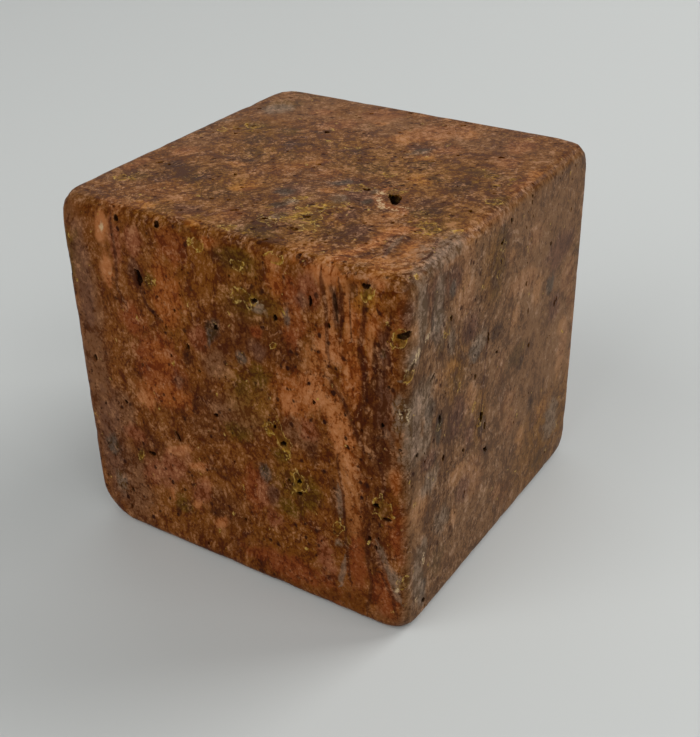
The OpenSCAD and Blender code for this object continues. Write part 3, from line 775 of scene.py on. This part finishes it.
# Share of each point in the left and right faces, the front and back ones, and the level ones
def faceShares(points):
    inside = numpy.array(halfSize) - abs(points - numpy.array(middle))
    others = numpy.stack([numpy.minimum(inside[:, (i + 1) % 3], inside[:, (i + 2) % 3]) for i in range(3)], 1)
    return numpy.clip(0.5 + (others - inside) / (2 * mm), 0, 1)


def paintTones(mesh):  # stores the tones, the veins, the faces and the depth below the surface on the mesh
    points = numpy.empty(len(mesh.vertices) * 3)
    mesh.vertices.foreach_get("co", points)
    points = points.reshape(-1, 3)
    strengths = toneStrengths(points)
    for name, members in toneSets.items():
        made = mesh.attributes.new(name, "FLOAT_VECTOR", "POINT")
        made.data.foreach_set("vector", numpy.stack([strengths[tone] for tone in members], 1).ravel())
    offsets, nearness = veinOffsets(points)
    ownVectors = {"veinOffset": numpy.stack(offsets, 1), "veinHere": numpy.stack(nearness, 1),
                  "faceShare": faceShares(points)}
    for name, values in ownVectors.items():
        mesh.attributes.new(name, "FLOAT_VECTOR", "POINT").data.foreach_set("vector", values.ravel())
    depths = [depthBelow(Vector(point)) / mm for point in points]
    mesh.attributes.new("depth", "FLOAT", "POINT").data.foreach_set("value", depths)


def colour(red, green, blue):  # a colour of 255 as the shader's own linear one
    shares = [value / 255 for value in (red, green, blue)]
    return (*[s / 12.92 if s < 0.04 else ((s + 0.055) / 1.055) ** 2.4 for s in shares], 1)


stone = {
    "ground": (106, 56, 8),
    "paleGround": (120, 68, 20),
    "acrossFaces": (116, 84, 54),  # painted sheen: a greyer ground painted on the faces to the left and right, for the pale veil they show at a grazing view
    "levelFaces": (124, 83, 34),  # and on the top and the base, also painted sheen
    "sheenDrabness": (0.75, 0.45),  # how far those two kinds of face are pulled to it
    "shade": (0.5, 0.32, 0.08),  # what the dark clots leave of the ground's red, green and blue
    "drabShade": (0.5, 0.41, 0.28),  # the same on the faces with painted sheen, where it leaves the dark clots greyer
    "clot": (206, 148, 104),
    # the clots on the faces with painted sheen, greyer
    "drabClot": (198, 162, 134),
    # painted shade of the small pores that are only drawn, not modelled
    "speck": (44, 17, 5),
    "crustEdge": (200, 166, 92),  # a pale cream line drawn along the yellow crusts
    # painted shade deep in the pits and pores, over the stone's darker inner colour
    "pit": (16, 7, 2),
    "darkVein": (68, 27, 5),
    "paleVein": (178, 112, 62),
    "coolVein": (116, 92, 74),
    "toneShare": 0.85,  # how much of a patch's tone covers the ground
    "coolShare": 0.72,
    "goldenShare": 0.75,
    "veinShares": (0.7, 0.5, 0.75),  # how strongly the dark, pale and cool veins show
    "roughness": 0.45,
    "gloss": 0.05,
    "bumpStrength": 0.5,
    "bumpHeight": 0.05 * mm,
}


def makeStone():
    material = bpy.data.materials.new("honedStone")
    material.use_nodes = True
    tree = material.node_tree
    tree.nodes.clear()
    g = Graph(tree)

    def mix(factor, first, second, blend="MIX"):
        settings = {"data_type": "RGBA", "blend_type": blend}
        return g.node("ShaderNodeMix", settings, {0: factor, 6: first, 7: second}, out=2)

    def channels(value):
        made = g.node("ShaderNodeSeparateXYZ", None, {0: value})
        return [Wire(g, socket) for socket in made.socket.node.outputs]

    def drawn(name, out):  # an attribute of the mesh
        return g.node("ShaderNodeAttribute", {"attribute_name": name}, None, out)

    def shaded(value, amount):  # a colour made lighter or darker
        grey = g.node("ShaderNodeCombineXYZ", None, {0: amount, 1: amount, 2: amount})
        return mix(1.0, value, grey, "MULTIPLY")

    def cells(where, size, feature="F1", out="Distance"):
        return g.node("ShaderNodeTexVoronoi", {"feature": feature}, {"Vector": where, "Scale": 1 / size}, out)

    # the beds in millimetres, X across them, drawn out along them and a little folded
    place = g.node("ShaderNodeTexCoord", None, None, out="Object")
    beds = g.vector("MULTIPLY", bedding(g, place), (1000, 1000, 1000))
    fold = g.vector("SUBTRACT", g.noise(beds, 0.12, 0.0, out=1), (0.5, 0.5, 0.5))
    folded = g.vector("ADD", beds, g.vector("MULTIPLY", fold, (4, 4, 4)))
    gritPlace = g.vector("MULTIPLY", beds, (1, 0.9, 0.8))
    drawnOut = g.vector("MULTIPLY", folded, (1, 0.8, 0.65))
    curl = g.vector("SUBTRACT", g.noise(drawnOut, 0.8, 0.0, out=1), (0.5, 0.5, 0.5))
    curled = g.vector("ADD", drawnOut, g.vector("MULTIPLY", curl, (0.5, 0.5, 0.5)))
    calm, streaked, speckled = channels(drawn("textures", "Vector"))
    mustardHere, calciteHere, crusted = channels(drawn("crusts", "Vector"))
    across, _, level = channels(drawn("faceShare", "Vector"))
    lit, deep, golden = channels(drawn("lights", "Vector"))

    # how light it is cloud by cloud, clot by clot and grain by grain, from 0 to 1
    clouds = g.noise(folded, 0.4, 3.0)
    clots = g.noise(curled, 0.9, 3.0, 0.6)
    grit = g.noise(gritPlace, 2.6, 3.0, 0.7)
    blobs = g.step(cells(curled, 0.9), 0.62, 0.12)
    grain = channels(cells(gritPlace, 0.36, out="Color"))[0]
    crumbs = 1 - g.step(cells(gritPlace, 0.55, "DISTANCE_TO_EDGE"), 0.02, 0.16)
    lively = (1 - calm * 0.4) * (1 - across * 0.05 + level * 0.5)
    light = (clots - 0.5) * 1.5 + (grit - 0.5) * 1.2 + (blobs - 0.5) * 0.2 + (grain - 0.5) * 0.24
    light = 0.5 + (light * 0.92 - (crumbs - 0.3) * 0.18) * lively + (clouds - 0.5) * 0.6
    lumps = g.noise(folded, 0.7, 1.0)
    light = light + (lumps - 0.5) * (across * 0.4 + level * 0.2) + lit * 0.12 - deep * 0.12 - across * 0.04

    # thin dark seams round the lenses
    lensPlace = g.vector("MULTIPLY", curled, (1.1, 0.8, 0.42))
    seams = 1 - g.step(cells(lensPlace, 1.5, "DISTANCE_TO_EDGE"), 0.02, 0.13)
    seamed = g.step(g.noise(g.vector("ADD", folded, (0, 40, 0)), 0.3, 3.0) + streaked * 0.25, 0.5, 0.66)
    streaks = g.noise(g.vector("MULTIPLY", beds, (2.2, 2.2, 0.35)), 1.0, 2.0)
    light = light - seams * seamed * 0.25 + (streaks - 0.5) * 1.1 * streaked

    # patches of the other tones, the grounds with soft edges and the rest with ragged ones
    base = mix(g.step(g.noise(folded, 0.2, 3.0), 0.42, 0.6), colour(*stone["ground"]),
               colour(*stone["paleGround"]))
    for index, name in enumerate(("grounds", "warmTones", "earthTones", "coolTones")):
        size, raggedness, share = (0.4, 1.4, 0.8) if index == 0 else (0.8, 1.5, stone["toneShare"])
        # the faces with painted sheen show less of the warm tones
        if name == "warmTones":
            share = share * (1 - across * 0.5 - level * 0.3)
        if name == "coolTones":
            share = stone["coolShare"]
        edge = channels(g.noise(g.vector("ADD", curled, (13 * index, 7, 31)), size, 4.0, out=1))
        weights = channels(drawn(name, "Vector"))
        for tone, weight, rough in zip(toneSets[name], weights, edge):
            patch = g.step(weight + (rough - 0.5) * raggedness, 0.2, 0.9)
            base = mix(patch * share, base, colour(*tones[tone]))
        if index == 2:  # painted sheen: the faces to the left and right and the level ones are drabber and greyer, standing in for the pale veil they show at a grazing view
            base = mix(across * stone["sheenDrabness"][0], base, colour(*stone["acrossFaces"]), "COLOR")
            base = mix(level * stone["sheenDrabness"][1], base, colour(*stone["levelFaces"]), "COLOR")
            base = mix(golden * stone["goldenShare"], base, colour(*tones["golden"]), "COLOR")

    # dark, pale and cool veins, which waver
    offsets = channels(drawn("veinOffset", "Vector"))
    shown = channels(drawn("veinHere", "Vector"))
    waver = channels(g.noise(g.vector("ADD", curled, (0, 7, 90)), 0.7, 3.0, out=1))
    veined = []
    for offset, here, drift in zip(offsets, shown, waver):
        off = g.node("ShaderNodeMath", {"operation": "ABSOLUTE"}, {0: offset + (drift - 0.5) * 2.4})
        veined.append((1 - g.step(off, 0.5, 1.6)) * g.step(here + (drift - 0.5) * 0.6, 0.3, 0.7))
    for index, name in ((1, "paleVein"), (2, "coolVein"), (0, "darkVein")):
        base = mix(veined[index] * stone["veinShares"][index], base, colour(*stone[name]))

    # painted sheen also greys the dark and pale clots on those faces, less where golden
    drab = across + level * (0.5 - golden * 0.4)
    dark = mix(1.0, base, mix(drab, (*stone["shade"], 1), (*stone["drabShade"], 1)), "MULTIPLY")
    clotTone = mix(drab, colour(*stone["clot"]), colour(*stone["drabClot"]))
    pale = mix(0.36, base, clotTone)
    base = mix(g.step(light, 0.1, 0.5), dark, base)
    base = mix(g.step(light, 0.5, 0.95), base, pale)

    # thin curled wisps, dark specks of two sizes, ringed pores, and yellow crusts; the specks and the ringed
    # pores' dark middles are painted shade of pores too small to model
    ridge = g.noise(curled, 1.0, 3.0)
    thin = 1 - g.step(g.node("ShaderNodeMath", {"operation": "ABSOLUTE"}, {0: ridge - 0.5}), 0.01, 0.06)
    where = g.step(g.noise(folded, 0.5, 2.0), 0.48, 0.66) * lively
    base = mix(thin * where * g.step(grit, 0.4, 0.6) * 0.34, base, clotTone)
    ragged = (clots - 0.5) * 0.8
    dotted = g.step(g.noise(g.vector("ADD", folded, (50, 0, 0)), 0.4, 2.0) + speckled * 0.3, 0.46, 0.62)
    own = channels(cells(gritPlace, 1.1, out="Color"))[0]
    coarse = 1 - g.step(cells(gritPlace, 1.1) + ragged + own * (0.6 - dotted * 0.4), 0.14, 0.32)
    fine = 1 - g.step(cells(g.vector("ADD", gritPlace, (20, 0, 0)), 0.45) + ragged, 0.14, 0.36)
    specks = coarse * 0.75 * (1 - calm * 0.5) * (1 - across * 0.4 + speckled * 0.3) + fine * dotted * 0.4
    # painted shade: the specks stand for pores too small to model
    base = mix(specks, base, colour(*stone["speck"]))

    # yellow crusts are ragged outlines, and small pores near them have yellow rims
    frayed = channels(g.noise(g.vector("ADD", curled, (80, 7, 31)), 1.0, 3.0, out=1))
    outline = mustardHere + (frayed[0] - 0.5) * 1.8
    crust = g.step(outline, 0.34, 0.42) * (1 - g.step(outline, 0.52, 0.68) * 0.75)
    crust = crust * g.step(g.noise(g.vector("ADD", curled, (0, 0, 60)), 0.9, 2.0), 0.43, 0.55)
    calcite = g.step(calciteHere + (frayed[1] - 0.5) * 1.6, 0.35, 0.85)
    rings = cells(g.vector("ADD", curled, (0, 70, 0)), 1.5) + ragged * 0.7
    ringed = g.step(crusted + (clots - 0.5) * 1.5, 0.45, 0.85)
    rim = g.step(rings, 0.18, 0.24) * (1 - g.step(rings, 0.28, 0.38)) * ringed
    hollow = (1 - g.step(rings, 0.12, 0.2)) * ringed
    mustard = shaded(colour(*tones["mustard"]), 0.35 + light)
    yellow = g.node("ShaderNodeMath", {"operation": "MAXIMUM"}, {0: crust * 0.9, 1: rim * 0.75})
    base = mix(g.step(outline, 0.5, 1.0) * 0.35, base, colour(*tones["olive"]))
    base = mix(yellow * g.step(light, 0.15, 0.4), base, mustard)
    bright = g.step(outline, 0.36, 0.42) * (1 - g.step(outline, 0.46, 0.54)) * g.step(grit, 0.42, 0.58)
    base = mix(bright * 0.6, base, colour(*stone["crustEdge"]))
    # painted shade in the middles of the ringed pores
    base = mix(hollow * 0.85, base, colour(*stone["speck"]))
    base = mix(calcite * g.step(light, 0.3, 0.55) * 0.8, base, colour(*tones["calcite"]))

    # pits and pores are rough inside, and painted shade darkens them with depth, over the stone's darker
    # inner colour
    depth = drawn("depth", "Fac")
    inPit = g.step(depth, 0.05, 0.35)
    # painted shade: the deeper a point lies below the surface, the darker it is coloured
    base = mix(inPit * 0.85, base, colour(*stone["pit"]))
    sunk = specks + hollow
    roughness = stone["roughness"] + (light - 0.5) * 0.15 + inPit * 0.4 + sunk * 0.2
    height = light * 0.35 - sunk * 0.8
    bump = g.node("ShaderNodeBump", None, {
        "Strength": stone["bumpStrength"], "Distance": stone["bumpHeight"], "Height": height})
    surface = g.node("ShaderNodeBsdfPrincipled", None, {
        "Base Color": base, "Roughness": roughness, "Normal": bump, "Specular IOR Level": stone["gloss"]})
    out = tree.nodes.new("ShaderNodeOutputMaterial")
    tree.links.new(surface.socket, out.inputs["Surface"])
    return material


def makeBlock(material):
    shell = roundedShell()
    wearShell(shell)
    mesh = bpy.data.meshes.new("shell")
    shell.to_mesh(mesh)
    shell.free()
    mesh.materials.append(material)
    rough = bpy.data.objects.new("shell", mesh)
    bpy.context.scene.collection.objects.link(rough)
    cutters = pitCutters()
    print("shell", len(mesh.polygons), "faces, pits", len(cutters.data.polygons), "faces")

    tree = buildPoreTree()
    modifier = rough.modifiers.new("openPores", "NODES")
    modifier.node_group = tree
    sockets = {item.name: item.identifier for item in tree.interface.items_tree if item.in_out == "INPUT"}
    for name, value in {**pores, "Pits": cutters, "Stone": material}.items():
        modifier[sockets[name]] = value
    graph = bpy.context.evaluated_depsgraph_get()
    final = bpy.data.meshes.new_from_object(rough.evaluated_get(graph))
    for spare in (rough, cutters):
        bpy.data.objects.remove(spare)
    for name in ("poreSize", "id", "outward"):
        final.attributes.remove(final.attributes[name])
    final.shade_smooth()
    final.set_sharp_from_angle(angle=math.radians(block["sharpAngle"]))
    paintTones(final)
    final.name = "stoneCube"
    piece = bpy.data.objects.new("stoneCube", final)
    bpy.context.scene.collection.objects.link(piece)
    print("block", len(final.polygons), "faces")
    return piece


# the room: a pale grey table and soft even light
room = {
    "floorTone": (0.585, 0.6, 0.585),
    "floorRoughness": 0.6,
    "floorReach": 3.0,
    "skyTone": (0.97, 0.99, 1.0),
    "skyStrength": 0.15,
    "lamps": (  # the direction each comes from, round from the right-hand side and up, its size and power
        (58, 40, 0.55, 5.4),
        (252, 42, 0.75, 4.7),
        (328, 34, 0.4, 1.7),
        (5, 42, 0.4, 1.3),
        (123, 31, 1.0, 1.6),
    ),
}


def makeFloor():
    floor = bpy.data.meshes.new("floor")
    reach = room["floorReach"]
    corners = [(x * reach, y * reach, low.z) for x, y in ((-1, -1), (1, -1), (1, 1), (-1, 1))]
    floor.from_pydata(corners, [], [(0, 1, 2, 3)])
    material = bpy.data.materials.new("paleTable")
    material.use_nodes = True
    surface = material.node_tree.nodes["Principled BSDF"]
    surface.inputs["Base Color"].default_value = (*room["floorTone"], 1)
    surface.inputs["Roughness"].default_value = room["floorRoughness"]
    floor.materials.append(material)
    made = bpy.data.objects.new("floor", floor)
    bpy.context.scene.collection.objects.link(made)


def makeLight():
    world = bpy.data.worlds.new("room")
    world.use_nodes = True
    sky = world.node_tree.nodes["Background"]
    sky.inputs["Color"].default_value = (*room["skyTone"], 1)
    sky.inputs["Strength"].default_value = room["skyStrength"]
    bpy.context.scene.world = world
    for bearing, rise, size, power in room["lamps"]:
        lamp = bpy.data.lights.new("softbox", "AREA")
        lamp.size, lamp.energy = size, power
        made = bpy.data.objects.new("softbox", lamp)
        turn, tilt = math.radians(bearing), math.radians(rise)
        made.location = (math.cos(turn) * math.cos(tilt), math.sin(turn) * math.cos(tilt), math.sin(tilt))
        made.rotation_euler = (middle - made.location).to_track_quat("-Z", "Y").to_euler()
        bpy.context.scene.collection.objects.link(made)


# where the camera stands from the middle of the block: round and up in degrees, then shifted
view = {
    "azimuth": 33.12,
    "elevation": 30.69,
    "roll": -1.3,
    "distance": 164.35 * mm,
    "aside": 1.66 * mm,
    "raised": -4.97 * mm,
    "lens": 56.9,
}


def makeCamera():
    turn, rise = math.radians(view["azimuth"]), math.radians(view["elevation"])
    back = Vector((math.sin(turn) * math.cos(rise), -math.cos(turn) * math.cos(rise), math.sin(rise)))
    level = Vector((0, 0, 1)).cross(back).normalized()
    tilt = Matrix.Rotation(math.radians(view["roll"]), 3, back)
    right, up = tilt @ level, tilt @ back.cross(level)
    camera = bpy.data.objects.new("camera", bpy.data.cameras.new("camera"))
    camera.data.lens = view["lens"]
    camera.data.sensor_width = 36
    camera.data.clip_start = 0.01
    place = middle + back * view["distance"] + right * view["aside"] + up * view["raised"]
    camera.matrix_world = Matrix.Translation(place) @ Matrix((right, up, back)).transposed().to_4x4()
    bpy.context.scene.collection.objects.link(camera)
    bpy.context.scene.camera = camera


makeCamera()
makeFloor()
makeLight()
cube = makeBlock(makeStone())
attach(cube, "root")
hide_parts("marble_cube")
bpy.context.scene.view_settings.view_transform = "Standard"
